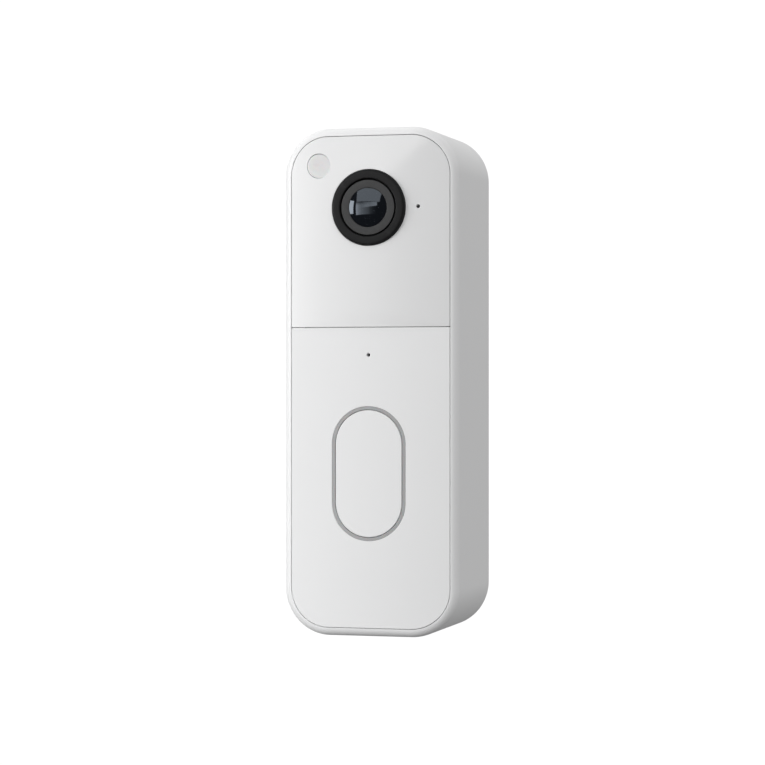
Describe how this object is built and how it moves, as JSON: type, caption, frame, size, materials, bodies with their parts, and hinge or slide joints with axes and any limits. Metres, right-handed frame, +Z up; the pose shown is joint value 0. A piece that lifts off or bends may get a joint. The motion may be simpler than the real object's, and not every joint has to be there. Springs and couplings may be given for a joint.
{
  "type": "video doorbell",
  "caption": "Upright battery video doorbell: crowned face with camera, motion window and lit pill-shaped press button, on a wall plate with release latch.",
  "frame": {"origin": "centre of the wall plate's wall face, at mid-width and mid-height of the case", "axes": "+Y out of the back, into the wall; +Z up; +X to the right as a visitor sees it"},
  "size_m": [0.0464, 0.0368, 0.13],
  "materials": {
    "frame_white": "satin",
    "face_gloss_white": "gloss",
    "face_matte_white": "fine matte",
    "frost_grey": "frosted",
    "window_white": "frosted, fine concentric ribs",
    "gloss_black": "satin black",
    "dark_anodised": "dark grey satin",
    "lens_glass": "coated",
    "clear_plastic": "clear",
    "housing_grey": "fine texture",
    "plate_grey": "fine texture",
    "latch_grey": "smooth",
    "foam_black": "foam",
    "seal_rubber": "matt",
    "screw_steel": "zinc plated",
    "contact_steel": "nickel plated",
    "cell_wrap": "printed film",
    "board_green": "solder mask",
    "chip_black": "moulded",
    "shield_metal": "tinned",
    "antenna_brass": "plated",
    "flex_amber": "polyimide film",
    "lamp_clear": "clear epoxy",
    "plunger_red": "smooth",
    "cone_paper": "coated"
  },
  "bodies": {
    "wall_bracket": {"wall_plate": "plate_grey", "latch_spring": "contact_steel"},
    "unit": {"antenna": "antenna_brass", "battery_contacts": "contact_steel", "battery_springs": "contact_steel", "board_cable": "flex_amber", "board_chips": "chip_black", "board_screws": "screw_steel", "button_board": "board_green", "button_switch": "chip_black", "camera_board": "board_green", "camera_cable": "flex_amber", "camera_housing": "housing_grey", "face_gasket": "foam_black", "front_lens": "lens_glass", "housing_screws": "screw_steel", "housing_seal": "seal_rubber", "image_sensor": "chip_black", "infrared_lamps": "lamp_clear", "inner_chassis": "housing_grey", "inner_lenses": "lens_glass", "lens_barrel": "dark_anodised", "lens_outer_ring": "gloss_black", "lens_retainer": "dark_anodised", "lens_seal": "foam_black", "light_guide": "clear_plastic", "light_pipe": "clear_plastic", "light_ring": "frost_grey", "light_sensor": "chip_black", "lower_faceplate": "face_matte_white", "main_board": "board_green", "microphone": "chip_black", "microphone_boot": "seal_rubber", "motion_sensor": "shield_metal", "motion_window": "window_white", "outer_frame": "frame_white", "rear_housing": "housing_grey", "reset_switch": "chip_black", "ring_lamps": "lamp_clear", "shield_can": "shield_metal", "speaker_basket": "housing_grey", "speaker_magnet": "shield_metal", "speaker_mesh": "shield_metal", "speaker_seal": "foam_black", "terminal_plates": "contact_steel", "terminal_screws": "screw_steel", "upper_faceplate": "face_gloss_white"},
    "latch": {"release_latch": "latch_grey"},
    "cover": {"battery_cover": "housing_grey", "cover_gasket": "seal_rubber", "cover_screws": "screw_steel"},
    "cells": {"battery_cells": "cell_wrap"},
    "button": {"button_cap": "face_matte_white"},
    "switch_plunger": {"button_plunger": "plunger_red"},
    "reset": {"reset_button": "housing_grey"},
    "reset_switch_plunger": {"reset_plunger": "plunger_red"},
    "cone": {"speaker_cone": "cone_paper"},
    "night_filter": {"filter_frame": "housing_grey", "filter_glass": "lens_glass"}
  },
  "joints": [
    {"name": "unit_pull", "type": "slide", "parent": "wall_bracket", "child": "unit", "axis": [0, -1, 0], "range_m": [0, 0.06]},
    {"name": "latch_lift", "type": "slide", "parent": "wall_bracket", "child": "latch", "axis": [0, 0, 1], "range_m": [0, 0.0016], "stiffness_N_per_m": 800, "springref_m": -0.001, "deforming": ["latch_spring"]},
    {"name": "cover_off", "type": "slide", "parent": "unit", "child": "cover", "axis": [0, 1, 0], "range_m": [0, 0.042]},
    {"name": "cells_out", "type": "slide", "parent": "unit", "child": "cells", "axis": [0, 1, 0], "range_m": [0, 0.021]},
    {"name": "button_press", "type": "slide", "parent": "unit", "child": "button", "axis": [0, 1, 0], "range_m": [0, 0.0006], "stiffness_N_per_m": 2500, "springref_m": -0.0004},
    {"name": "plunger_press", "type": "slide", "parent": "unit", "child": "switch_plunger", "axis": [0, 1, 0], "range_m": [0, 0.00036]},
    {"name": "reset_press", "type": "slide", "parent": "unit", "child": "reset", "axis": [0, -1, 0], "range_m": [0, 0.0005], "stiffness_N_per_m": 2500, "springref_m": -0.0004},
    {"name": "reset_plunger_press", "type": "slide", "parent": "unit", "child": "reset_switch_plunger", "axis": [0, -1, 0], "range_m": [0, 0.0003]},
    {"name": "cone_move", "type": "slide", "parent": "unit", "child": "cone", "axis": [0, 0, 1], "range_m": [-0.0003, 0.0003], "stiffness_N_per_m": 1500},
    {"name": "filter_slide", "type": "slide", "parent": "unit", "child": "night_filter", "axis": [1, 0, 0], "range_m": [0, 0.004]}
  ],
  "couplings": [
    {"joint": "cover_off", "follows": "unit_pull", "ratio": 0.7},
    {"joint": "cells_out", "follows": "unit_pull", "ratio": 0.35},
    {"joint": "plunger_press", "follows": "button_press", "ratio": 0.6},
    {"joint": "reset_plunger_press", "follows": "reset_press", "ratio": 0.6}
  ]
}
